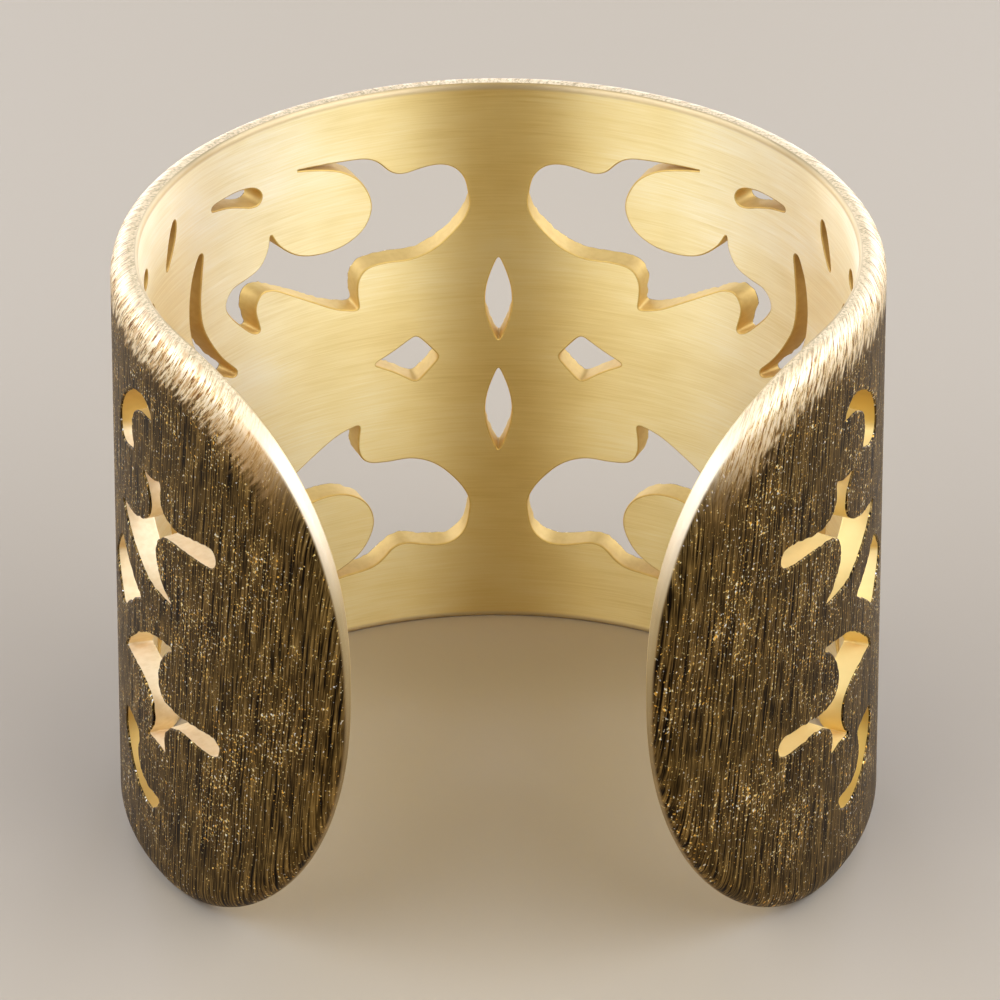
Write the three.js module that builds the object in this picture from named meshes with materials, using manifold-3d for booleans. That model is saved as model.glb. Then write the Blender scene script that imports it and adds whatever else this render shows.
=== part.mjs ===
// An open finger ring: one wide pierced band, bent round until its two tongue-shaped ends almost
// meet. It stands on its bottom rim with the gap to the front (-Y) and +Z up, in millimetres.
import * as THREE from 'three';
import { mergeVertices } from 'three/addons/utils/BufferGeometryUtils.js';
import Module from 'manifold-3d';

// Driving dimensions
const boreDiameter = 18;       // what the finger goes through
const wall = 0.7;              // thickness of the sheet
const height = 15.8;           // width of the band, along the finger
const tipAngle = 156.4;        // where each tongue ends, in degrees round from the middle of the back
const tongueRounding = 6.5;    // length of a tongue's rounded end, measured round the band
const tongueFullness = 2.3;    // 2 rounds the end as an ellipse, more makes it squarer

// Rims
const outerEdge = { across: 0.44, down: 0.6 };   // rounding of the outside edges
const innerEdge = { across: 0.1, down: 0.14 };   // the eased inside edges
const edgeSteps = 3;           // facets round an outside edge

// Fineness of the faceted solid
const facets = 60;             // round a whole turn
const stepsPerPoint = 4;       // spline steps between two outline points, before thinning
const chordError = 0.014;      // how far a thinned outline may run from its curve, in mm
const tongueSteps = 36;        // points round one tongue end
const leafSteps = 6;           // points along each side of a pointed oval

const boreRadius = boreDiameter / 2;
const outerRadius = boreRadius + wall;
const middleRadius = boreRadius + wall / 2;
const middle = height / 2;
const degree = Math.PI / 180;
const cutterInside = boreRadius - 2;     // cutters start well inside the bore
const cutterOutside = outerRadius + 3;   // and end well outside the band
const cutterMargin = 1;                  // how far the gap cutters pass the rims
const gapOverlap = 1;                    // and how many degrees they pass the middle of the gap

// Outlines of the piercing. Each is drawn once, for the upper left quarter of the band, as
// stretches that meet in corners. A row is [angle from the middle of the back in degrees, rise
// above mid-height in mm], and a smooth curve passes through the rows of one stretch.
const bigScroll = [
  { stretch: 'shoulder', rows: [[4.8, 4.5], [5.6, 5.18], [7.6, 5.54], [10.2, 5.63], [13, 5.56],
    [15.8, 5.46], [18, 5.56], [20, 5.88], [22.3, 6.06], [27, 6.13], [35.5, 6.24]] },
  { stretch: 'disc', rows: [[35.5, 6.24], [30.5, 6.06], [26.4, 5.84], [23, 5.42], [21.2, 4.72],
    [22.5, 4.08], [26, 3.69], [30.5, 3.59], [35, 3.75], [38.8, 4.22], [40.6, 4.7]] },
  { stretch: 'crescent', rows: [[40.6, 4.7], [41, 4.25], [42.8, 3.82], [46, 3.65], [49.3, 3.56], [51, 3.2],
    [49.6, 2.8], [47, 2.36], [44.6, 2.02], [42.9, 1.95]] },
  { stretch: 'curl', rows: [[42.9, 1.95], [43.6, 2.3], [44.1, 2.7], [42.7, 3.06], [40, 3.02], [36.5, 2.7],
    [32, 2.27], [27.5, 1.87], [23.6, 1.7]] },
  { stretch: 'finger', rows: [[23.6, 1.7], [24, 2.1], [23.9, 2.55], [22.4, 2.88], [19, 2.97], [14.5, 2.97],
    [10.5, 3.22], [7, 3.75], [5.2, 4.2], [4.8, 4.5]] },
];
const hook = [
  { stretch: 'back', rows: [[117.8, 5.42], [117.4, 5.6], [116.5, 5.79], [114.9, 5.9], [113.1, 5.88],
    [110.7, 5.75], [108, 5.46], [105.6, 5.09], [104, 4.68], [103.6, 4.3], [104.2, 3.98], [106.6, 3.9],
    [110.7, 4.09]] },
  { stretch: 'throat', rows: [[110.7, 4.09], [110.1, 4.38], [109.7, 4.66], [110, 4.95], [110.9, 5.17],
    [112.6, 5.35], [114.5, 5.42], [116.2, 5.43], [117.8, 5.42]] },
];
const branch = [
  { stretch: 'slot top', rows: [[134, 2.7], [133, 2.98], [130, 2.96], [124.5, 2.86], [121.2, 3.05],
    [120, 3.3], [119.9, 3.6], [120.2, 3.92]] },
  { stretch: 'spur top', rows: [[120.2, 3.92], [118.4, 3.81], [117, 3.78], [114.3, 3.8]] },
  { stretch: 'round', rows: [[114.3, 3.8], [115.9, 3.55], [117, 3.1], [116.4, 2.68], [114.5, 2.4],
    [111.5, 2.21], [108, 2.13], [104.3, 2.13]] },
  { stretch: 'lens floor', rows: [[104.3, 2.13], [107, 1.68], [111, 1.2], [116, 0.77], [123, 0.62]] },
  { stretch: 'slot floor', rows: [[123, 0.62], [120.2, 1], [118.4, 1.55], [118.4, 2.05], [120.3, 2.38],
    [124.5, 2.47], [131.3, 2.43], [133.3, 2.47], [134, 2.7]] },
];

// Slits are drawn as a centre line: angle in degrees, rise above mid-height and width in mm.
const longSlit = [
  { angle: 57.3, rise: 5.15, width: 0.2 },
  { angle: 58.8, rise: 4.5, width: 0.46 },
  { angle: 59.5, rise: 3.7, width: 0.52 },
  { angle: 58.8, rise: 2.95, width: 0.52 },
  { angle: 56.6, rise: 2.3, width: 0.5 },
  { angle: 53, rise: 1.6, width: 0.4 },
  { angle: 48.5, rise: 1.05, width: 0.16 },
];
const comma = [
  { angle: 42.6, rise: 5.74, width: 0.24 },
  { angle: 44.2, rise: 5.92, width: 0.5 },
  { angle: 47.2, rise: 6.08, width: 0.44 },
  { angle: 50.5, rise: 6.17, width: 0.28 },
  { angle: 54.5, rise: 6.22, width: 0.12 },
];
const smallSlit = [
  { angle: 65.7, rise: 6.75, width: 0.16 },
  { angle: 66.4, rise: 6.4, width: 0.36 },
  { angle: 67.5, rise: 6, width: 0.34 },
  { angle: 69.1, rise: 5.5, width: 0.14 },
];
const slitMirror = 67;         // the long slit repeats on the other side of this angle

const dot = { angle: 80.5, rise: 6.2, radius: 0.28, points: 12 };

// Kites lie along mid-height: tip and butt are their ends, spread is half their height at peak.
// Halfway to the tip they keep frontShare of that, and a third of the way to the butt rearShare.
const backKite = { tip: 21.2, peak: 13.8, butt: 9.8, spread: 0.69 };
const sideKite = { tip: 112.4, peak: 103.6, butt: 97.2, spread: 1.02 };
const frontShare = 0.44;
const rearShare = 0.7;

// Pointed ovals stand upright, at the middle of the back and of each side.
const leaf = { low: 0.36, high: 2.92, halfAngle: 2.2 };
const sideLeafAngle = slitMirror;

const wasm = await Module();
wasm.setup();

function solidFrom(geometry) {
  const plain = geometry.clone();
  plain.deleteAttribute('normal');
  plain.deleteAttribute('uv');
  const merged = mergeVertices(plain, 1e-5);
  const vertProperties = new Float32Array(merged.attributes.position.array);
  const triVerts = new Uint32Array(merged.index.array);
  return new wasm.Manifold(new wasm.Mesh({ numProp: 3, vertProperties, triVerts }));
}

function geometryFrom(solid) {
  const mesh = solid.getMesh();
  const geometry = new THREE.BufferGeometry();
  geometry.setAttribute('position', new THREE.BufferAttribute(new Float32Array(mesh.vertProperties), 3));
  geometry.setIndex(new THREE.BufferAttribute(new Uint32Array(mesh.triVerts), 1));
  geometry.computeVertexNormals();
  return geometry;
}

// A quarter of an ellipse, from straight out (0) to straight up (1) as seen from its centre.
function easedCorner(centreX, centreY, across, down) {
  const corner = [];
  for (let i = 0; i <= edgeSteps; i += 1) {
    const turn = (i / edgeSteps) * 90 * degree;
    corner.push(new THREE.Vector2(centreX + across * Math.cos(turn), centreY + down * Math.sin(turn)));
  }
  return corner;
}

// The whole hoop before it is cut: a wall with flat rims and rounded edges, turned round the axis.
function hoop() {
  const outerX = outerRadius - outerEdge.across;
  const innerX = boreRadius + innerEdge.across;
  const topOuter = easedCorner(outerX, height - outerEdge.down, outerEdge.across, outerEdge.down);
  const bottomOuter = easedCorner(outerX, outerEdge.down, outerEdge.across, -outerEdge.down).reverse();
  const profile = [
    new THREE.Vector2(innerX, 0),
    ...bottomOuter,
    ...topOuter,
    new THREE.Vector2(innerX, height),
    new THREE.Vector2(boreRadius, height - innerEdge.down),
    new THREE.Vector2(boreRadius, innerEdge.down),
    new THREE.Vector2(innerX, 0),
  ];
  return new THREE.LatheGeometry(profile, facets).rotateX(90 * degree);
}

// Leaves out the points that lie almost straight between the point kept before them and the next.
function thinned(points) {
  const kept = [points[0]];
  const toMm = new THREE.Vector2(middleRadius * degree, 1);
  for (let i = 1; i < points.length - 1; i += 1) {
    const from = kept[kept.length - 1];
    const chord = points[i + 1].clone().sub(from).multiply(toMm);
    const offset = points[i].clone().sub(from).multiply(toMm);
    if (Math.abs(chord.cross(offset)) > chordError * chord.length()) kept.push(points[i]);
  }
  kept.push(points[points.length - 1]);
  return kept;
}

// The corners and curves of an outline as one closed list of points.
function tracedOutline(stretches) {
  const points = [];
  for (const { rows } of stretches) {
    const curve = new THREE.SplineCurve(rows.map(([angle, rise]) => new THREE.Vector2(angle, rise)));
    const traced = curve.getPoints((rows.length - 1) * stepsPerPoint);
    points.push(...thinned(traced).slice(0, -1));
  }
  return points;
}

// A slit's outline: its centre line moved out to both sides by half its width.
function slitOutline(rows) {
  const arcPerDegree = middleRadius * degree;
  const line = new THREE.SplineCurve(rows.map((row) => new THREE.Vector2(row.angle * arcPerDegree, row.rise)));
  const widths = new THREE.SplineCurve(rows.map((row, i) => new THREE.Vector2(i, row.width)));
  const steps = (rows.length - 1) * stepsPerPoint;
  const sides = { left: [], right: [] };
  for (let i = 0; i <= steps; i += 1) {
    const along = i / steps;
    const point = line.getPoint(along);
    const tangent = line.getTangent(along);
    const half = widths.getPoint(along).y / 2;
    const shift = new THREE.Vector2(-tangent.y, tangent.x).multiplyScalar(half);
    sides.left.push(point.clone().add(shift));
    sides.right.push(point.clone().sub(shift));
  }
  const inDegrees = (p) => new THREE.Vector2(p.x / arcPerDegree, p.y);
  return [...thinned(sides.left.map(inDegrees)), ...thinned(sides.right.reverse().map(inDegrees))];
}

function dotOutline({ angle, rise, radius, points }) {
  const halfAngle = radius / middleRadius / degree;
  return new THREE.EllipseCurve(angle, rise, halfAngle, radius).getPoints(points).slice(0, -1);
}

function kiteOutline({ tip, peak, butt, spread }) {
  const front = [(tip + peak) / 2, spread * frontShare];
  const rear = [(peak * 2 + butt) / 3, spread * rearShare];
  return tracedOutline([
    { rows: [[tip, 0], front, [peak, spread]] },
    { rows: [[peak, spread], rear, [butt, 0]] },
    { rows: [[butt, 0], [rear[0], -rear[1]], [peak, -spread]] },
    { rows: [[peak, -spread], [front[0], -front[1]], [tip, 0]] },
  ]);
}

// An upright pointed oval between two heights, its sides bowed out as a sine.
function leafOutline(angle, { low, high, halfAngle }) {
  const left = [];
  const right = [];
  for (let i = 0; i < leafSteps; i += 1) {
    const along = i / leafSteps;
    const bow = halfAngle * Math.sin(along * Math.PI);
    const rise = (high - low) * along;
    left.push(new THREE.Vector2(angle + bow, low + rise));
    right.push(new THREE.Vector2(angle - halfAngle * Math.sin((1 - along) * Math.PI), high - rise));
  }
  return [...left, ...right];
}

// Everything in front of one tongue's rounded end, as far as the middle of the gap and a bit over.
function gapOutline() {
  const points = [];
  const roundingAngle = tongueRounding / outerRadius / degree;
  for (let i = 0; i <= tongueSteps; i += 1) {
    const turn = (i / tongueSteps - 0.5) * 180 * degree;
    const out = Math.abs(Math.cos(turn)) ** (2 / tongueFullness);
    const up = Math.sign(turn) * Math.abs(Math.sin(turn)) ** (2 / tongueFullness);
    points.push(new THREE.Vector2(tipAngle - roundingAngle * (1 - out), middle * up));
  }
  const start = tipAngle - roundingAngle;
  const pastMiddle = 180 + gapOverlap;
  const pastRim = middle + cutterMargin;
  points.push(new THREE.Vector2(start, pastRim), new THREE.Vector2(pastMiddle, pastRim));
  points.push(new THREE.Vector2(pastMiddle, -pastRim), new THREE.Vector2(start, -pastRim));
  return points;
}

// A prism whose sides all point at the ring's axis. Side and level of -1 mirror the outline to
// the right half and to the lower half of the band.
function radialCutter(outline, side, level) {
  const shape = new THREE.Shape(outline.map((p) => new THREE.Vector2(p.x * side, p.y * level)));
  const depth = cutterOutside - cutterInside;
  const geometry = new THREE.ExtrudeGeometry(shape, { depth, steps: 1, bevelEnabled: false });
  const position = geometry.attributes.position;
  for (let i = 0; i < position.count; i += 1) {
    const angle = position.getX(i) * degree;
    const radius = cutterInside + position.getZ(i);
    const rise = middle + position.getY(i);
    position.setXYZ(i, -radius * Math.sin(angle), radius * Math.cos(angle), rise);
  }
  return solidFrom(geometry);
}

function mirrored(rows, about) {
  return rows.map((row) => ({ ...row, angle: 2 * about - row.angle }));
}

function band() {
  const left = 1;
  const right = -1;
  const upper = 1;
  const lower = -1;
  const quarters = [[left, upper], [right, upper], [left, lower], [right, lower]];
  const inEachQuarter = [
    tracedOutline(bigScroll),
    tracedOutline(hook),
    tracedOutline(branch),
    slitOutline(longSlit),
    slitOutline(mirrored(longSlit, slitMirror)),
    slitOutline(comma),
    slitOutline(smallSlit),
    dotOutline(dot),
    leafOutline(sideLeafAngle, leaf),
  ];
  const onEachSide = [kiteOutline(backKite), kiteOutline(sideKite), gapOutline()];
  let solid = solidFrom(hoop());
  for (const [side, level] of quarters) {
    for (const outline of inEachQuarter) {
      solid = solid.subtract(radialCutter(outline, side, level));
    }
  }
  for (const outline of onEachSide) {
    solid = solid.subtract(radialCutter(outline, left, upper));
    solid = solid.subtract(radialCutter(outline, right, upper));
  }
  for (const level of [upper, lower]) {
    solid = solid.subtract(radialCutter(leafOutline(0, leaf), left, level));
  }
  return geometryFrom(solid);
}

const gold = new THREE.MeshStandardMaterial({ color: 0xd9b15f, roughness: 0.32, metalness: 1 });
const bandMesh = new THREE.Mesh(band(), gold);
bandMesh.name = 'band';
// The tongues reach less far forward than the back reaches backward: centre the two on the origin.
bandMesh.position.y = -outerRadius * (1 + Math.cos(tipAngle * degree)) / 2;

const ring = new THREE.Group();
ring.add(bandMesh);
export default ring;
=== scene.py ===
import math

import bpy
import numpy as np
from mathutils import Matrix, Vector
from mathutils.geometry import delaunay_2d_cdt
from mathutils.kdtree import KDTree


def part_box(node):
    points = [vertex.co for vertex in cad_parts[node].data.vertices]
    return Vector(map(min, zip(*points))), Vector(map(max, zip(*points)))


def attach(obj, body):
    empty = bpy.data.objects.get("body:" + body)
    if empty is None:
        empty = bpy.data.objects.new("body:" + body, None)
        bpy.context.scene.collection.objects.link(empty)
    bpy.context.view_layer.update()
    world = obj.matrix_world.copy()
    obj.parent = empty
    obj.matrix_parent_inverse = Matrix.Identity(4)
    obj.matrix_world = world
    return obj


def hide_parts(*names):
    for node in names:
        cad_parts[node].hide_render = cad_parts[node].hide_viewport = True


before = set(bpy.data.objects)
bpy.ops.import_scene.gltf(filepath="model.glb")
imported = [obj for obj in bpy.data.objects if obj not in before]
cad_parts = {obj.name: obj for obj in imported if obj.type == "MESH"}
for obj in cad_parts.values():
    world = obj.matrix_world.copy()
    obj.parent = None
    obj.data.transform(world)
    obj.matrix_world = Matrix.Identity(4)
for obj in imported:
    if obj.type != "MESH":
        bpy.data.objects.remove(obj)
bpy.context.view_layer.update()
print("frame loaded")

mm = 0.001

# The strip is drawn flat and bent round at the end. Angles are in degrees from the middle of the
# back, rises in mm above mid-height, for the upper left quarter.
low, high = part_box("band")
band = {
    "outerRadius": (high.x - low.x) / 2 / mm,
    "height": (high.z - low.z) / mm,
    "wall": 0.7,
    "tipAngle": 156.4,
    "tongueRounding": 6.5,    # length of a tongue's rounded end
    "tongueFullness": 2.3,    # 2 is an ellipse, more is squarer
    "tonguePoints": 200,
    "outlineStep": 0.07,      # spacing of the points along the outlines
    "fewestPoints": 20,       # round an opening, however small
    "sawRounding": 4,         # passes that ease the corners left by the saw
    "skinStep": 0.3,          # spacing of the points over the surfaces
    "skinRow": 0.87,          # share of that between one row and the next
    "skinGap": 0.45,          # share of it kept clear along the outlines
    "weld": 1e-6,             # points nearer than this become one
}
band["middleRadius"] = band["outerRadius"] - band["wall"] / 2
band["axisY"] = high.y / mm - band["outerRadius"]
mmPerDegree = math.radians(1) * band["middleRadius"]
stripReach = band["tipAngle"] * mmPerDegree

bigScroll = [
    [(4.8, 4.5), (5.6, 5.18), (7.6, 5.54), (10.2, 5.63), (13, 5.56), (15.8, 5.46), (18, 5.56),
     (20, 5.88), (22.3, 6.06), (27, 6.13), (35.5, 6.24)],
    [(35.5, 6.24), (30.5, 6.06), (26.4, 5.84), (23, 5.42), (21.2, 4.72), (22.5, 4.08), (26, 3.69),
     (30.5, 3.59), (35, 3.75), (38.8, 4.22), (40.6, 4.7)],
    [(40.6, 4.7), (41, 4.25), (42.8, 3.82), (46, 3.65), (49.3, 3.56), (51, 3.2), (49.6, 2.8),
     (47, 2.36), (44.6, 2.02), (42.9, 1.95)],
    [(42.9, 1.95), (43.6, 2.3), (44.1, 2.7), (42.7, 3.06), (40, 3.02), (36.5, 2.7), (32, 2.27),
     (27.5, 1.87), (23.6, 1.7)],
    [(23.6, 1.7), (24, 2.1), (23.9, 2.55), (22.4, 2.88), (19, 2.97), (14.5, 2.97), (10.5, 3.22),
     (7, 3.75), (5.2, 4.2), (4.8, 4.5)],
]
hook = [
    [(117.8, 5.42), (117.4, 5.6), (116.5, 5.79), (114.9, 5.9), (113.1, 5.88), (110.7, 5.75),
     (108, 5.46), (105.6, 5.09), (104, 4.68), (103.6, 4.3), (104.2, 3.98), (106.6, 3.9),
     (110.7, 4.09)],
    [(110.7, 4.09), (110.1, 4.38), (109.7, 4.66), (110, 4.95), (110.9, 5.17), (112.6, 5.35),
     (114.5, 5.42), (116.2, 5.43), (117.8, 5.42)],
]
branch = [
    [(134, 2.7), (133, 2.98), (130, 2.96), (124.5, 2.86), (121.2, 3.05), (120, 3.3),
     (119.9, 3.6), (120.2, 3.92)],
    [(120.2, 3.92), (118.4, 3.81), (117, 3.78), (114.3, 3.8)],
    [(114.3, 3.8), (115.9, 3.55), (117, 3.1), (116.4, 2.68), (114.5, 2.4), (111.5, 2.21),
     (108, 2.13), (104.3, 2.13)],
    [(104.3, 2.13), (107, 1.68), (111, 1.2), (116, 0.77), (123, 0.62)],
    [(123, 0.62), (120.2, 1), (118.4, 1.55), (118.4, 2.05), (120.3, 2.38), (124.5, 2.47),
     (131.3, 2.43), (133.3, 2.47), (134, 2.7)],
]
# slits: angle, rise and width of the cut
longSlit = [(57.3, 5.15, 0.2), (58.8, 4.5, 0.46), (59.5, 3.7, 0.52), (58.8, 2.95, 0.52),
            (56.6, 2.3, 0.5), (53, 1.6, 0.4), (48.5, 1.05, 0.16)]
comma = [(42.6, 5.74, 0.24), (44.2, 5.92, 0.5), (47.2, 6.08, 0.44), (50.5, 6.17, 0.28),
         (54.5, 6.22, 0.12)]
smallSlit = [(65.7, 6.75, 0.16), (66.4, 6.4, 0.36), (67.5, 6, 0.34), (69.1, 5.5, 0.14)]
slitMirror = 67
dot = {"angle": 80.5, "rise": 6.2, "radius": 0.28, "points": 24}
backKite = {"tip": 21.2, "peak": 13.8, "butt": 9.8, "spread": 0.69}
sideKite = {"tip": 112.4, "peak": 103.6, "butt": 97.2, "spread": 1.02}
kiteSides = {"long": 0.44, "short": 0.7}    # how full they are, as shares of the spread
leaf = {"low": 0.36, "high": 2.92, "halfAngle": 2.2, "points": 30}


def smoothLine(rows, steps=12):
    # a curve through every row, evenly timed, with its two ends doubled
    p = np.array([rows[0], *rows, rows[-1]], float)
    line = []
    for a, b, c, d in zip(p, p[1:], p[2:], p[3:]):
        for t in np.arange(steps) / steps:
            line.append(b + 0.5 * ((c - a) * t + (2 * a - 5 * b + 4 * c - d) * t ** 2
                                   + (3 * b - a - 3 * c + d) * t ** 3))
    return np.array([*line, p[-1]])


def flat(line):
    # degrees and rise -> mm along the strip and across it
    return np.asarray(line) * (mmPerDegree, 1)


def scrollOutline(stretches):
    return flat(np.vstack([smoothLine(rows)[:-1] for rows in stretches]))


def slitOutline(rows):
    line = smoothLine(rows)
    centre = flat(line[:, :2])
    along = np.gradient(centre, axis=0)
    along /= np.linalg.norm(along, axis=1)[:, None]
    shift = np.column_stack([-along[:, 1], along[:, 0]]) * line[:, 2:] / 2
    return np.vstack([centre + shift, (centre - shift)[::-1]])


def mirrorSlit(rows, about):
    return [(2 * about - angle, rise, width) for angle, rise, width in rows]


def dotOutline(d):
    turn = np.linspace(0, 2 * math.pi, d["points"], endpoint=False)
    centre = flat((d["angle"], d["rise"]))
    return centre + d["radius"] * np.column_stack([np.cos(turn), np.sin(turn)])


def kiteOutline(k):
    tip, peak, butt, spread = k["tip"], k["peak"], k["butt"], k["spread"]
    front = ((tip + peak) / 2, spread * kiteSides["long"])
    rear = ((peak * 2 + butt) / 3, spread * kiteSides["short"])
    return scrollOutline([
        [(tip, 0), front, (peak, spread)],
        [(peak, spread), rear, (butt, 0)],
        [(butt, 0), (rear[0], -rear[1]), (peak, -spread)],
        [(peak, -spread), (front[0], -front[1]), (tip, 0)],
    ])


def leafOutline(angle, shape):
    t = np.linspace(0, 1, shape["points"])
    bow = shape["halfAngle"] * np.sin(t * math.pi)
    rise = shape["low"] + (shape["high"] - shape["low"]) * t
    return flat(np.vstack([np.column_stack([angle + bow, rise])[:-1],
                           np.column_stack([angle - bow, rise])[:0:-1]]))


def bandOutline():
    # both tongues and the two straight rims between them
    turn = np.linspace(-math.pi / 2, math.pi / 2, band["tonguePoints"])
    power = 2 / band["tongueFullness"]
    out = np.abs(np.cos(turn)) ** power
    rise = np.sign(turn) * np.abs(np.sin(turn)) ** power * band["height"] / 2
    tip = band["tipAngle"] * mmPerDegree
    rounding = band["tongueRounding"] * band["middleRadius"] / band["outerRadius"]
    left = np.column_stack([tip - rounding * (1 - out), rise])
    return np.vstack([left, (left * (-1, 1))[::-1]])


def evenlySpaced(loop, step):
    closed = np.vstack([loop, loop[:1]])
    run = np.concatenate([[0], np.cumsum(np.linalg.norm(np.diff(closed, axis=0), axis=1))])
    count = max(band["fewestPoints"], round(run[-1] / step))
    at = np.linspace(0, run[-1], count, endpoint=False)
    return np.column_stack([np.interp(at, run, closed[:, k]) for k in (0, 1)])


def easeCorners(loop, passes):
    for _ in range(passes):
        loop = (np.roll(loop, 1, 0) + 2 * loop + np.roll(loop, -1, 0)) / 4
    return loop


def counterClockwise(loop):
    ahead = np.roll(loop, -1, 0)
    turned = (loop[:, 0] * ahead[:, 1] - ahead[:, 0] * loop[:, 1]).sum() > 0
    return loop if turned else loop[::-1]


def allOutlines():
    quarter = [
        scrollOutline(bigScroll), scrollOutline(hook), scrollOutline(branch),
        slitOutline(longSlit), slitOutline(mirrorSlit(longSlit, slitMirror)),
        slitOutline(comma), slitOutline(smallSlit), dotOutline(dot),
        leafOutline(slitMirror, leaf),
    ]
    openings = [loop * (side, level) for loop in quarter for side in (1, -1) for level in (1, -1)]
    openings += [kiteOutline(k) * (side, 1) for k in (backKite, sideKite) for side in (1, -1)]
    openings += [leafOutline(0, leaf) * (1, level) for level in (1, -1)]
    rim = counterClockwise(evenlySpaced(bandOutline(), band["outlineStep"]))
    step = band["outlineStep"]
    holes = [counterClockwise(easeCorners(evenlySpaced(loop, step), band["sawRounding"]))
             for loop in openings]
    return rim, holes


# how the wall's edges are rounded: how far back over the surface and how deep into the wall
edges = {
    "rimOuter": (0.6, 0.44),
    "rimInner": (0.14, 0.1),
    "cutOuter": (0.05, 0.05),
    "cutInner": (0.04, 0.04),
    "rimSteps": 8,
    "cutSteps": 3,
    "chips": 0.045,           # how unevenly the saw left the outer edge of a cut
    "chipEasing": 2,          # passes that smooth that out along the edge
    "chipDepth": 0.2,         # how deep into the wall it goes
}
chance = np.random.default_rng(5)


def edgeProfile(outer, inner, steps):
    # rows of inset, depth, and the normal's share towards the opening and towards the outside
    rows = []
    for turn in np.linspace(0, math.pi / 2, steps + 1):
        normal = Vector((math.sin(turn) / outer[0], math.cos(turn) / outer[1])).normalized()
        rows.append((outer[0] * (1 - math.sin(turn)), outer[1] * (1 - math.cos(turn)), *normal))
    for turn in np.linspace(math.pi / 2, math.pi, steps + 1):
        normal = Vector((math.sin(turn) / inner[0], math.cos(turn) / inner[1])).normalized()
        depth = band["wall"] - inner[1] * (1 + math.cos(turn))
        rows.append((inner[0] * (1 - math.sin(turn)), depth, *normal))
    return rows


def towardsOpening(loop, isRim):
    # unit vectors in the flat strip that point out of the metal
    along = np.roll(loop, -1, 0) - np.roll(loop, 1, 0)
    along /= np.linalg.norm(along, axis=1)[:, None]
    outwards = np.column_stack([along[:, 1], -along[:, 0]])
    return outwards if isRim else -outwards


class StripMesh:
    # points of the flat strip as (along, across, depth below the outside), with their normals
    def __init__(self):
        self.places = []
        self.normals = []
        self.faces = []
        self.finishes = []
        self.count = 0

    def addPoints(self, places, normals):
        first = self.count
        self.places.append(places)
        self.normals.append(normals)
        self.count += len(places)
        return np.arange(first, self.count)

    def addFaces(self, faces, finish):
        self.faces += [tuple(int(i) for i in face) for face in faces]
        self.finishes += [finish] * len(faces)


finishOrder = ["brushed", "cut", "satin"]


def addEdge(strip, loop, isRim):
    # the rounded edges and the wall along one outline; returns its rings on the two surfaces
    if isRim:
        profile = edgeProfile(edges["rimOuter"], edges["rimInner"], edges["rimSteps"])
        bandsOf = [(edges["rimSteps"] + 1, "brushed"), (len(profile), "satin")]
    else:
        profile = edgeProfile(edges["cutOuter"], edges["cutInner"], edges["cutSteps"])
        bandsOf = [(edges["cutSteps"], "brushed"), (len(profile), "cut")]
    out = towardsOpening(loop, isRim)
    chips = np.zeros((len(loop), 1))
    if not isRim:
        uneven = easeCorners(chance.normal(size=(len(loop), 2)), edges["chipEasing"])
        chips[:, 0] = edges["chips"] * abs(uneven[:, 0])
    rings = []
    for inset, depth, nOut, nUp in profile:
        moved = loop - out * (inset + chips * max(0, 1 - depth / edges["chipDepth"]))
        places = np.column_stack([moved, np.full(len(loop), depth)])
        normals = np.column_stack([out * nOut, np.full(len(loop), nUp)])
        rings.append(strip.addPoints(places, normals))
    for k, (a, b) in enumerate(zip(rings, rings[1:])):
        finish = next(name for limit, name in bandsOf if k < limit)
        quads = np.column_stack([a, np.roll(a, -1), np.roll(b, -1), b])
        if isRim:
            quads = quads[:, ::-1]
        strip.addFaces(quads, finish)
    return rings[0], rings[-1]


def insideLoop(points, loop):
    # crossings of a ray to the right of each point
    inside = np.zeros(len(points), bool)
    near = np.all((points > loop.min(0)) & (points < loop.max(0)), axis=1)
    x, y = points[near, :1], points[near, 1:]
    a, b = loop, np.roll(loop, -1, 0)
    crosses = (a[:, 1] > y) != (b[:, 1] > y)
    rise = np.where(b[:, 1] == a[:, 1], 1e-9, b[:, 1] - a[:, 1])    # never zero
    atX = a[:, 0] + (y - a[:, 1]) / rise * (b[:, 0] - a[:, 0])
    inside[near] = (crosses & (x < atX)).sum(1) % 2 == 1
    return inside


def skinPoints(loops, step):
    # staggered points over the metal, clear of every outline
    rim, holes = loops[0], loops[1:]
    reach = rim.max(0)
    rows = np.arange(-reach[1], reach[1], step * band["skinRow"])
    points = []
    for k, y in enumerate(rows):
        xs = np.arange(-reach[0] + step / 2 * (k % 2), reach[0], step)
        points.append(np.column_stack([xs, np.full(len(xs), y)]))
    points = np.vstack(points)
    keep = insideLoop(points, rim)
    for hole in holes:
        keep &= ~insideLoop(points, hole)
    points = points[keep]
    tree = KDTree(sum(len(loop) for loop in loops))
    for i, p in enumerate(np.vstack(loops)):
        tree.insert((*p, 0), i)
    tree.balance()
    clear = [tree.find((*p, 0))[2] > step * band["skinGap"] for p in points]
    return points[clear]


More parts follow.
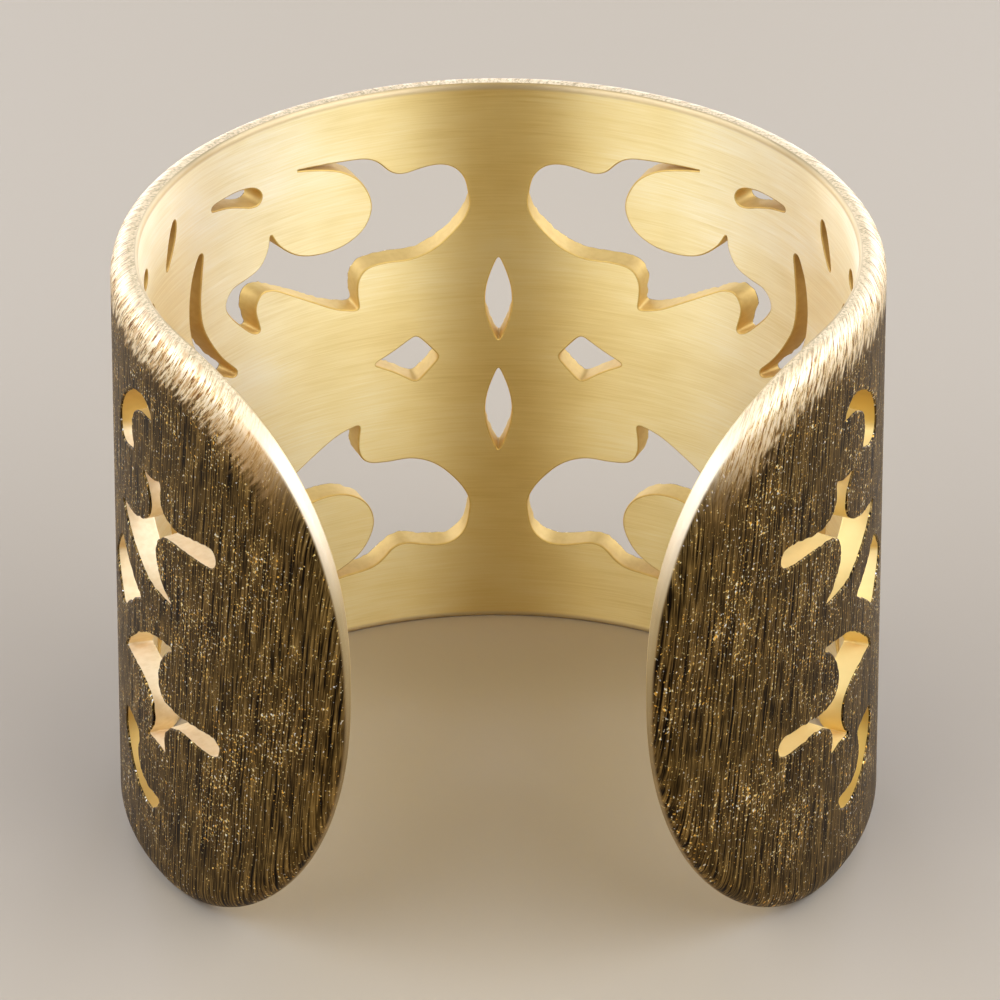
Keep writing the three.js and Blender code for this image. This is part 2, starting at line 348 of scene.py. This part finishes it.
def addSkin(strip, rings, depth, step, finish):
    # fills the metal between the outlines on one surface
    places = np.vstack(strip.places)
    loops = [places[ring, :2] for ring in rings]
    inner = skinPoints(loops, step)
    up = 1 if depth == 0 else -1
    added = strip.addPoints(np.column_stack([inner, np.full(len(inner), depth)]),
                            np.tile((0, 0, up), (len(inner), 1)))
    index = np.concatenate([*rings, added])
    spots = [Vector(p) for p in np.vstack([*loops, inner])]
    starts = np.cumsum([0, *(len(loop) for loop in loops)])
    shapes = [list(range(a, b)) for a, b in zip(starts, starts[1:])]
    _, _, faces, sources, _, covers = delaunay_2d_cdt(spots, [], shapes, 0, band["weld"], True)
    # shape 0 is the rim, and it alone covers the metal
    kept = [[index[sources[i][0]] for i in face] for face, cover in zip(faces, covers)
            if list(cover) == [0]]
    if up < 0:
        kept = [face[::-1] for face in kept]
    strip.addFaces(kept, finish)


def bend(places, normals):
    angle = places[:, 0] / band["middleRadius"]
    radius = band["outerRadius"] - places[:, 2]
    sin, cos = np.sin(angle), np.cos(angle)
    spots = np.column_stack([-radius * sin, band["axisY"] + radius * cos,
                             band["height"] / 2 + places[:, 1]])
    u, v, w = normals.T
    bent = np.column_stack([-cos * u - sin * w, -sin * u + cos * w, v])
    return spots * mm, bent


def nearestOn(loop, places):
    # for each place, the nearest point of the loop and the gap to it
    tree = KDTree(len(loop))
    for i, p in enumerate(loop):
        tree.insert((*p, 0), i)
    tree.balance()
    found = [tree.find((p[0], p[1], 0)) for p in places]
    return np.array([hit[1] for hit in found]), np.array([hit[2] for hit in found])


def makeBand(finishes):
    rim, holes = allOutlines()
    strip = StripMesh()
    ringPairs = [addEdge(strip, rim, True)] + [addEdge(strip, hole, False) for hole in holes]
    outerRings = [pair[0] for pair in ringPairs]
    innerRings = [pair[1] for pair in ringPairs]
    addSkin(strip, outerRings, 0, band["skinStep"], "brushed")
    addSkin(strip, innerRings, band["wall"], band["skinStep"], "satin")
    places, normals = np.vstack(strip.places), np.vstack(strip.normals)
    spots, bent = bend(places, normals)

    mesh = bpy.data.meshes.new("ringBand")
    mesh.from_pydata(spots.tolist(), [], strip.faces)
    mesh.validate()
    for name in finishOrder:
        mesh.materials.append(finishes[name])
    order = [finishOrder.index(name) for name in strip.finishes]
    mesh.polygons.foreach_set("material_index", order)
    mesh.shade_smooth()
    mesh.normals_split_custom_set_from_vertices(bent.tolist())
    measured = mesh.attributes.new("flatPlace", "FLOAT_VECTOR", "POINT")
    measured.data.foreach_set("vector", places.astype(np.float32).ravel())
    nearest, gaps = nearestOn(rim, places)
    rimUp = towardsOpening(rim, True)[nearest, 1]
    for name, values in (("rimGap", gaps), ("rimUp", rimUp)):
        measured = mesh.attributes.new(name, "FLOAT", "POINT")
        measured.data.foreach_set("value", values.astype(np.float32))
    obj = bpy.data.objects.new("ringBand", mesh)
    bpy.context.scene.collection.objects.link(obj)
    print("band:", len(mesh.vertices), "points,", len(mesh.polygons), "faces")
    return obj


def addNode(tree, kind, inputs, **settings):
    node = tree.nodes.new("ShaderNode" + kind)
    for name, value in settings.items():
        setattr(node, name, value)
    for name, value in inputs.items():
        if isinstance(value, bpy.types.NodeSocket):
            tree.links.new(value, node.inputs[name])
        else:
            node.inputs[name].default_value = value
    return node


def newFinish(name, metallic, roughness):
    material = bpy.data.materials.new(name)
    material.use_nodes = True
    shader = material.node_tree.nodes["Principled BSDF"]
    shader.inputs["Metallic"].default_value = metallic
    shader.inputs["Roughness"].default_value = roughness
    return material, material.node_tree, shader


def calc(tree, operation, a, b=0.0, c=0.0):
    return addNode(tree, "Math", {0: a, 1: b, 2: c}, operation=operation).outputs[0]


def rescale(tree, value, start, end, low=0.0, high=1.0, kind="SMOOTHSTEP"):
    # value goes from start..end to low..high
    spread = addNode(tree, "MapRange", {"Value": value, "From Min": start, "From Max": end,
                                        "To Min": low, "To Max": high}, interpolation_type=kind)
    return spread.outputs["Result"]


def grain(tree, place, scale, detail=2.0, rough=0.55):
    # noise stretched to the grain of the strip, with scale as (along, across, through) per mm
    stretched = addNode(tree, "Mapping", {"Vector": place, "Scale": scale}).outputs[0]
    noise = addNode(tree, "TexNoise", {"Vector": stretched, "Scale": 1.0, "Detail": detail,
                                       "Roughness": rough})
    return noise.outputs["Fac"]


def colours(tree, value, stops):
    ramp = addNode(tree, "ValToRGB", {"Fac": value})
    elements = ramp.color_ramp.elements
    while len(elements) < len(stops):
        elements.new(0.5)
    for element, (place, colour) in zip(elements, stops):
        element.position = place
        element.color = (*colour, 1)
    return ramp.outputs["Color"]


def mixColour(tree, share, below, above):
    mix = addNode(tree, "Mix", {0: share, 6: below, 7: above}, data_type="RGBA")
    return mix.outputs[2]


def blendValues(tree, a, b, share=0.5):
    # share of a, and the rest of b
    return calc(tree, "MULTIPLY_ADD", a, share, calc(tree, "MULTIPLY", b, 1 - share))


def multiplyColours(tree, a, b):
    mix = addNode(tree, "Mix", {0: 1.0, 6: a, 7: b}, data_type="RGBA", blend_type="MULTIPLY")
    return mix.outputs[2]


def flatPlace(tree):
    return addNode(tree, "Attribute", {}, attribute_name="flatPlace").outputs["Vector"]


def measure(tree, name):
    return addNode(tree, "Attribute", {}, attribute_name=name).outputs["Fac"]


def separate(tree, place):
    # mm along the strip, above zero on the left, then mm across it and mm down into the metal
    parts = addNode(tree, "SeparateXYZ", {0: place}).outputs
    return parts["X"], parts["Y"], parts["Z"]


def combine(tree, along, across, down):
    return addNode(tree, "CombineXYZ", {0: along, 1: across, 2: down}).outputs[0]


def roundTone(tree, stops):
    # colours by the mm round from the middle of the back, the same to both sides; used to paint
    # shade and highlight by place
    along, _, _ = separate(tree, flatPlace(tree))
    share = calc(tree, "DIVIDE", calc(tree, "ABSOLUTE", along), stripReach)
    return colours(tree, share, [(at / stripReach, colour) for at, colour in stops])


def swayed(tree, place, amount, scale):
    # bends straight grain a little
    noise = addNode(tree, "TexNoise", {"Vector": place, "Scale": scale, "Detail": 1.0})
    centred = addNode(tree, "VectorMath", {0: noise.outputs["Color"], 1: (0.5, 0.5, 0.5)},
                      operation="SUBTRACT").outputs[0]
    shift = addNode(tree, "VectorMath", {0: centred, 1: amount}, operation="MULTIPLY").outputs[0]
    return addNode(tree, "VectorMath", {0: place, 1: shift}, operation="ADD").outputs[0]


def addBump(tree, shader, height, depth):
    bump = addNode(tree, "Bump", {"Height": height, "Distance": depth * mm, "Strength": 1.0})
    tree.links.new(bump.outputs["Normal"], shader.inputs["Normal"])


def addStretch(tree, shader, amount, turn):
    # draws the reflections out round the ring's axis
    shader.inputs["Anisotropic"].default_value = amount
    shader.inputs["Anisotropic Rotation"].default_value = turn
    tangent = addNode(tree, "Tangent", {}, direction_type="RADIAL", axis="Z")
    tree.links.new(tangent.outputs[0], shader.inputs["Tangent"])


brushedLook = {
    "roughness": 0.55,
    "stretch": (0.3, 0),          # of the reflections, and its turn
    "strokeDepth": 0.012,         # mm
    "lean": -0.09,                # mm along the strip for each mm across it
    "sway": ((0.08, 0, 0), 0.7),  # mm that they bend aside, and how often per mm
    # the scale of each grain per mm: along the strip, across it, through the metal
    "lines": (30, 1.1, 5),
    "gouges": (17, 0.45, 3),
    "mottle": (2.6, 1.6, 1),
    "patches": (0.5, 0.35, 0.3),  # where the sparks gather and the brown turns yellower
    "glintGrains": (17, 13, 6),
    "glintTints": (19, 9, 4),
    "sparks": (8, 7, 4),
    # the brown metal, and the painted shade in its furrows
    "mottleShare": 0.15,
    "body": [(0.38, (0.014, 0.009, 0.003)), (0.47, (0.07, 0.043, 0.012)),
             (0.53, (0.16, 0.098, 0.027)), (0.62, (0.36, 0.235, 0.07))],
    "patchTints": [(0.4, (1.04, 0.98, 0.98)), (0.6, (1.02, 0.98, 0.93))],
    "furrows": (0.43, 0.37, 0, 0.8),      # gouges where they start and are full, and their share
    "furrowShade": (0.006, 0.004, 0.003, 1),
    # the painted glints: bright grains of highlight colour, and how much the strokes, the mottle
    # and the patches gather them
    "glints": [(0.38, (1, 0.5, 0.06)), (0.47, (1, 0.7, 0.17)), (0.55, (1, 0.86, 0.4)),
               (0.64, (1, 0.97, 0.85))],
    "onStrokes": 0.35,
    "onMottle": 0.25,
    "inPatches": 0.22,
    "thinAtRim": (2, 0.4, 0, 0.03),       # mm from the rim, and by how much they thin out
    "glintGrainsShow": (0.92, 1.02, 0, 0.85),
    "sparksShow": (0.99, 1.04),
    "pits": 0.5,                  # how far the grains stand up from the strokes
}


def brushedMetal(tree, look, place):
    # coarse strokes along the finger, with painted shade in the furrows and painted glints as
    # bright grains
    lines = grain(tree, place, look["lines"], rough=0.6)
    gouges = grain(tree, place, look["gouges"])
    mottle = grain(tree, place, look["mottle"], detail=3.0, rough=0.6)
    patches = grain(tree, place, look["patches"])
    strokes = blendValues(tree, lines, gouges)
    body = colours(tree, blendValues(tree, mottle, strokes, look["mottleShare"]), look["body"])
    # painted shade: near black in the furrows
    body = mixColour(tree, rescale(tree, gouges, *look["furrows"]), body, look["furrowShade"])
    body = multiplyColours(tree, body, colours(tree, patches, look["patchTints"]))

    near = calc(tree, "MULTIPLY", mottle, look["onMottle"])
    near = calc(tree, "MULTIPLY_ADD", strokes, look["onStrokes"], near)
    near = calc(tree, "MULTIPLY_ADD", calc(tree, "SUBTRACT", 0.5, patches), look["inPatches"], near)
    near = calc(tree, "SUBTRACT", near, rescale(tree, measure(tree, "rimGap"), *look["thinAtRim"]))
    glintGrains = calc(tree, "ADD", grain(tree, place, look["glintGrains"], detail=1.0), near)
    sparks = calc(tree, "ADD", grain(tree, place, look["sparks"], detail=1.0), near)
    lit = calc(tree, "MAXIMUM", rescale(tree, glintGrains, *look["glintGrainsShow"]),
               rescale(tree, sparks, *look["sparksShow"]))
    # painted glints: highlight colours put into the base colour where the grains and sparks show
    glints = colours(tree, grain(tree, place, look["glintTints"], detail=1.0), look["glints"])
    relief = calc(tree, "MULTIPLY_ADD", lit, look["pits"], strokes)
    return mixColour(tree, lit, body, glints), relief


rubbedAndLitLook = {
    # the scale of each grain per mm: along the strip, across it, through the metal
    "fringe": (20, 2.6, 2.6),
    "ragged": (8, 1.8, 1.8),
    "tan": (6, 1.3, 1.3),
    "speckle": (16, 8, 12),
    # how far the rubbing leans along the strip, on the right and on the left: for each mm across
    # it, and for each mm down into the metal
    "leanAcross": (-0.3, -0.79),
    "leanDown": (-1.45, 0.97),
    "leanTurn": (-9, 9),          # mm from the middle of the back between which the lean turns
    # the fringe on the upper edges: rubbed bright, with a painted highlight that shows only where
    # the rim faces up. A rim faces straight up at 1, sideways at 0 and down at -1
    "fringeWidth": (1.35, 0.45),  # mm back from the rim: where the rubbing starts and is full
    "fringeFacing": (0.35, 0.8),
    "fringeRagged": -2.0,         # mm that its end wanders
    "hairsRagged": 0.4,
    "rubbedAndLit": [(0.4, (0.2, 0.07, 0.01)), (0.44, (0.5, 0.27, 0.06)), (0.48, (0.86, 0.61, 0.25)),
               (0.54, (1, 0.81, 0.47))],
    # browner patches: a tone at random, and painted shade lower down, where the rim faces less up;
    # most on the left
    "tanAndShade": (0.62, 0.33, 0.09, 1),
    "tanPatches": (0.5, 0.62, 0, 0.6),
    "tanShadeFacing": (0.95, 0.72, 0, 0.7),
    "tanLeft": (-3, 3, 0.35, 1),
    # painted shade: a darker brown where the painted highlight fades, and where the rim faces
    # sideways or down
    "shadedFringe": (0.36, 0.2, 0.055, 1),
    "shadedFringeFade": (0.1, 0.7),
    "shadedFringeFacing": (0.5, 0.97, 0.3, 1),
    # the smooth line along the rims, with a painted highlight: pale where the rim faces up, dark
    # brown where it faces sideways or down
    "lineWidth": (0.01, 0.09),    # mm, low down and high up
    "lineFacing": (-0.15, 0.3),
    "lineBlur": (0.03, -0.03),    # mm
    "polishedAndLit": [(0, (0.42, 0.3, 0.12)), (0.15, (0.5, 0.36, 0.15)), (0.42, (0.95, 0.75, 0.44))],
    "polishedFacing": (0.9, 0.6, 0.35, 1),
    # the flat top of the rim, speckled bright only where it faces up: a painted highlight on the
    # upper rims
    "flatTop": [(0.38, (0.5, 0.35, 0.15)), (0.55, (0.88, 0.68, 0.36))],
    "topDepth": (0.38, 0.46),     # mm down into the metal
    "topFacing": (0.8, 0.97),
    "metallic": 0.65,
}


def rubbedAndLitEdge(tree, look, place):
    # the share of the metal that is rubbed bright, with a painted highlight on the upper edges, its
    # colour, and the fine marks in it
    along, across, down = separate(tree, place)
    facing = measure(tree, "rimUp")
    rimGap = measure(tree, "rimGap")
    leanAcross = rescale(tree, along, *look["leanTurn"], *look["leanAcross"])
    leanDown = rescale(tree, along, *look["leanTurn"], *look["leanDown"])
    belowTop = calc(tree, "SUBTRACT", across, band["height"] / 2)
    slant = calc(tree, "MULTIPLY_ADD", belowTop, leanAcross, along)
    slant = calc(tree, "MULTIPLY_ADD", down, leanDown, slant)
    slanted = combine(tree, slant, across, down)
    ragged = grain(tree, slanted, look["ragged"], detail=3.0, rough=0.6)
    ragged = calc(tree, "SUBTRACT", ragged, 0.5)
    hairs = grain(tree, slanted, look["fringe"], detail=4.0, rough=0.75)
    hairs = calc(tree, "MULTIPLY_ADD", ragged, look["hairsRagged"], hairs)

    reach = calc(tree, "MULTIPLY_ADD", ragged, look["fringeRagged"], rimGap)
    # painted highlight: the fringe shows only where the rim faces up
    fringe = calc(tree, "MULTIPLY", rescale(tree, reach, *look["fringeWidth"]),
                  rescale(tree, facing, *look["fringeFacing"]))
    lineWidth = rescale(tree, facing, *look["lineFacing"], *look["lineWidth"])
    line = rescale(tree, calc(tree, "SUBTRACT", rimGap, lineWidth), *look["lineBlur"])
    rubAndHighlight = calc(tree, "MAXIMUM", fringe, line)

    patches = grain(tree, slanted, look["tan"], detail=3.0)
    # painted shade: browner where the rim faces less up
    tanAndShade = calc(tree, "MAXIMUM", rescale(tree, patches, *look["tanPatches"]),
                  rescale(tree, facing, *look["tanShadeFacing"]))
    tanAndShade = calc(tree, "MULTIPLY", tanAndShade, rescale(tree, along, *look["tanLeft"]))
    gold = mixColour(tree, tanAndShade, colours(tree, hairs, look["rubbedAndLit"]), look["tanAndShade"])
    # painted shade: darker brown where the painted highlight fades and the rim turns away from up
    full = calc(tree, "MULTIPLY", rescale(tree, rubAndHighlight, *look["shadedFringeFade"]),
                rescale(tree, facing, *look["shadedFringeFacing"]))
    gold = mixColour(tree, full, look["shadedFringe"], gold)
    # painted highlight on the smooth line, by how much the rim faces up
    smooth = calc(tree, "MULTIPLY", line, rescale(tree, facing, *look["polishedFacing"]))
    gold = mixColour(tree, smooth, gold, colours(tree, facing, look["polishedAndLit"]))
    return rubAndHighlight, gold, hairs


def flatTop(tree, look, place, leaning, hairs, gold):
    # speckles over the flat top of the rim, painted bright only where it faces up
    _, _, down = separate(tree, place)
    speckle = blendValues(tree, grain(tree, leaning, look["speckle"]), hairs)
    # painted highlight: the speckles only where the rim faces up
    onTop = calc(tree, "MULTIPLY", rescale(tree, down, *look["topDepth"]),
                 rescale(tree, measure(tree, "rimUp"), *look["topFacing"]))
    return mixColour(tree, onTop, gold, colours(tree, speckle, look["flatTop"]))


def brushedOutside(look, rubAndLitLook):
    # the brushed outside, rubbed bright on its upper edges, where a highlight is painted
    material, tree, shader = newFinish("brushedOutside", 1.0, look["roughness"])
    place = swayed(tree, flatPlace(tree), *look["sway"])
    along, across, down = separate(tree, place)
    leaning = combine(tree, calc(tree, "MULTIPLY_ADD", across, look["lean"], along), across, down)
    body, relief = brushedMetal(tree, look, leaning)
    # the rubbed fringe carries a painted highlight on the upper edges
    rubAndHighlight, gold, hairs = rubbedAndLitEdge(tree, rubAndLitLook, place)
    gold = flatTop(tree, rubAndLitLook, place, leaning, hairs, gold)
    tree.links.new(mixColour(tree, rubAndHighlight, body, gold), shader.inputs["Base Color"])
    tree.links.new(rescale(tree, rubAndHighlight, 0, 1, 1, rubAndLitLook["metallic"]), shader.inputs["Metallic"])
    marks = addNode(tree, "Mix", {0: rubAndHighlight, 2: relief, 3: hairs}, data_type="FLOAT").outputs[0]
    addBump(tree, shader, marks, look["strokeDepth"])
    addStretch(tree, shader, *look["stretch"])
    return material


satinLook = {
    "roughness": (0.46, 0.56),    # in the low and the high lines
    "reliefEnds": (0.3, 0.7),
    "stretch": (0.85, 0.25),      # of the reflections, and its turn
    "lineDepth": 0.004,           # mm
    "sway": ((0, 0.12, 0), 0.3),  # mm that the lines bend aside, and how often per mm
    # the scale of each grain per mm: along the strip, across it, through the metal
    "lines": (0.4, 16, 3),
    "hairs": (1.0, 45, 5),
    "broad": (0.25, 0.5, 1),
    # mm round from the middle of the back: painted shade makes the gold deeper and darker there,
    # and painted highlight makes it paler at the sides
    "gold": [(0.7, (0.9, 0.67, 0.25)), (2.4, (0.99, 0.79, 0.35)), (4.8, (0.96, 0.81, 0.43)),
             (9.5, (1, 0.91, 0.66))],
    "tone": [(0.36, (0.88, 0.79, 0.57)), (0.5, (0.96, 0.91, 0.76)), (0.64, (1, 1, 1))],
    # the rounding into the rims is a little darker and duller
    "darkerRounding": (0.68, 0.5, 0.23, 1),
    "darkerRoundingWidth": (0.2, 0.1),      # mm from the rim: where it starts and is full
}


def satinInside(look):
    # fine lines round the bore
    material, tree, shader = newFinish("satinInside", 1.0, look["roughness"][0])
    place = swayed(tree, flatPlace(tree), *look["sway"])
    lines = grain(tree, place, look["lines"], detail=3.0)
    relief = blendValues(tree, lines, grain(tree, place, look["hairs"]))
    tone = blendValues(tree, relief, grain(tree, place, look["broad"]))
    # painted shade and highlight: deeper gold at the back middle, paler at the sides
    gold = multiplyColours(tree, colours(tree, tone, look["tone"]), roundTone(tree, look["gold"]))
    # darker and duller on the rounding into the rims
    darkerRounding = rescale(tree, measure(tree, "rimGap"), *look["darkerRoundingWidth"])
    gold = mixColour(tree, darkerRounding, gold, look["darkerRounding"])
    tree.links.new(gold, shader.inputs["Base Color"])
    roughness = rescale(tree, relief, *look["reliefEnds"], *look["roughness"], kind="LINEAR")
    tree.links.new(roughness, shader.inputs["Roughness"])
    addBump(tree, shader, relief, look["lineDepth"])
    addStretch(tree, shader, *look["stretch"])
    return material


cutLook = {
    "metallic": 0.55,
    "roughness": 0.6,
    "markDepth": 0.002,           # mm
    "marks": (5, 5, 4),           # scale per mm: along the strip, across it, through the metal
    # mm round from the middle of the back: the scrolls, the slits and the tongues. Painted shade
    # darkens the walls at the back, and the walls on the tongues are painted paler, as lit
    "gold": [(6.5, (0.7, 0.46, 0.11)), (8.5, (0.58, 0.35, 0.08)), (14, (0.56, 0.34, 0.07)),
             (17.2, (0.9, 0.71, 0.38))],
    "tone": [(0.36, (0.94, 0.91, 0.86)), (0.6, (1, 1, 1))],
    # painted shade: the walls on the right side turn a little darker and yellower: mm along the
    # strip, and how much it does
    "rightWallShade": (0.88, 0.65, 0.2, 1),
    "rightWallShadeAlong": (-14, -17, 0, 0.85),
    # painted shade: the hook walls near both rims are a deeper, darker gold: mm round, and mm above
    # or below mid-height
    "hookShade": (0.62, 0.38, 0.055, 1),
    "hookShadeRound": (16, 16.5, 0, 0.85),
    "hookShadeLevel": (3.85, 4.3),
}


def sawnWall(look):
    # the walls of the openings, with faint marks of the saw through the metal
    material, tree, shader = newFinish("sawnWall", look["metallic"], look["roughness"])
    along, across, _ = separate(tree, flatPlace(tree))
    marks = grain(tree, flatPlace(tree), look["marks"])
    # painted shade: darker walls at the back, paler ones on the tongues
    gold = multiplyColours(tree, colours(tree, marks, look["tone"]), roundTone(tree, look["gold"]))
    # painted shade: the walls on the right side darker and yellower
    gold = mixColour(tree, rescale(tree, along, *look["rightWallShadeAlong"]), gold, look["rightWallShade"])
    # painted shade: the hook walls a deeper, darker gold
    hooks = calc(tree, "MULTIPLY",
                 rescale(tree, calc(tree, "ABSOLUTE", across), *look["hookShadeLevel"]),
                 rescale(tree, calc(tree, "ABSOLUTE", along), *look["hookShadeRound"]))
    tree.links.new(mixColour(tree, hooks, gold, look["hookShade"]), shader.inputs["Base Color"])
    addBump(tree, shader, marks, look["markDepth"])
    return material


finishes = {
    "brushed": brushedOutside(brushedLook, rubbedAndLitLook),
    "cut": sawnWall(cutLook),
    "satin": satinInside(satinLook),
}
print("finishes made")

ringBand = makeBand(finishes)
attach(ringBand, "root")
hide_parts("band")

floor = {"size": 0.8, "colour": (0.38, 0.3, 0.18), "roughness": 0.55}
bpy.ops.mesh.primitive_plane_add(size=floor["size"])
floorPlane = bpy.context.object
floorPlane.name = "paleFloor"
paper, _, paperShader = newFinish("palePaper", 0.0, floor["roughness"])
paperShader.inputs["Base Color"].default_value = (*floor["colour"], 1)
floorPlane.data.materials.append(paper)

studio = {
    "ambient": 0.11,
    "cool": (0.9, 1.05, 1.55),
    "warm": (1.1, 0.96, 0.62),
    # where each soft box hangs: degrees round from the front to the right, degrees up, its
    # width, height and distance in metres, its power in watts and its colour
    "boxes": {
        "rightBox": (66, 40, 0.34, 0.16, 0.24, 0.82, "cool"),
        "leftBox": (-66, 40, 0.34, 0.16, 0.24, 0.7, "cool"),
        "topBox": (0, 88, 0.18, 0.14, 0.24, 0.1, "warm"),
        "backRightBox": (142, 16, 0.28, 0.14, 0.26, 0.4, "cool"),
        "backLeftBox": (-142, 16, 0.28, 0.14, 0.26, 0.4, "cool"),
    },
}
world = bpy.data.worlds.new("studio")
bpy.context.scene.world = world
world.use_nodes = True
world.node_tree.nodes["Background"].inputs["Color"].default_value = (*studio["warm"], 1)
world.node_tree.nodes["Background"].inputs["Strength"].default_value = studio["ambient"]


def softBox(name, round_, up, width, height, distance, power, colour):
    light = bpy.data.lights.new(name, "AREA")
    light.shape = "RECTANGLE"
    light.size, light.size_y = width, height
    light.energy = power
    light.color = studio[colour]
    lamp = bpy.data.objects.new(name, light)
    bpy.context.scene.collection.objects.link(lamp)
    round_, up = math.radians(round_), math.radians(up)
    away = Vector((math.sin(round_) * math.cos(up), -math.cos(round_) * math.cos(up), math.sin(up)))
    lamp.location = away * distance + Vector((0, 0, band["height"] / 2 * mm))
    lamp.rotation_euler = away.to_track_quat("Z", "Y").to_euler()
    lamp.visible_camera = False


for name, box in studio["boxes"].items():
    softBox(name, *box)

camera = {
    "elevation": 29.35,       # degrees above the floor
    "distance": 261.9,        # mm from the aim
    "aimHeight": 8.588,       # mm above the floor, on the bore's axis
    "lens": 372.5,
    "sensor": 36,
    "shift": 0.0015,
    "clip": (0.01, 10),       # metres
}
cameraData = bpy.data.cameras.new("camera")
cameraData.lens = camera["lens"]
cameraData.sensor_width = camera["sensor"]
cameraData.shift_x = camera["shift"]
cameraData.clip_start, cameraData.clip_end = camera["clip"]
cameraObject = bpy.data.objects.new("camera", cameraData)
bpy.context.scene.collection.objects.link(cameraObject)
aim = Vector((0, band["axisY"], camera["aimHeight"])) * mm
tilt = math.radians(camera["elevation"])
cameraObject.location = aim + Vector((0, -math.cos(tilt), math.sin(tilt))) * camera["distance"] * mm
cameraObject.rotation_euler = (math.pi / 2 - tilt, 0, 0)
bpy.context.scene.camera = cameraObject
bpy.context.scene.view_settings.view_transform = "Standard"
print("floor, light and camera placed")
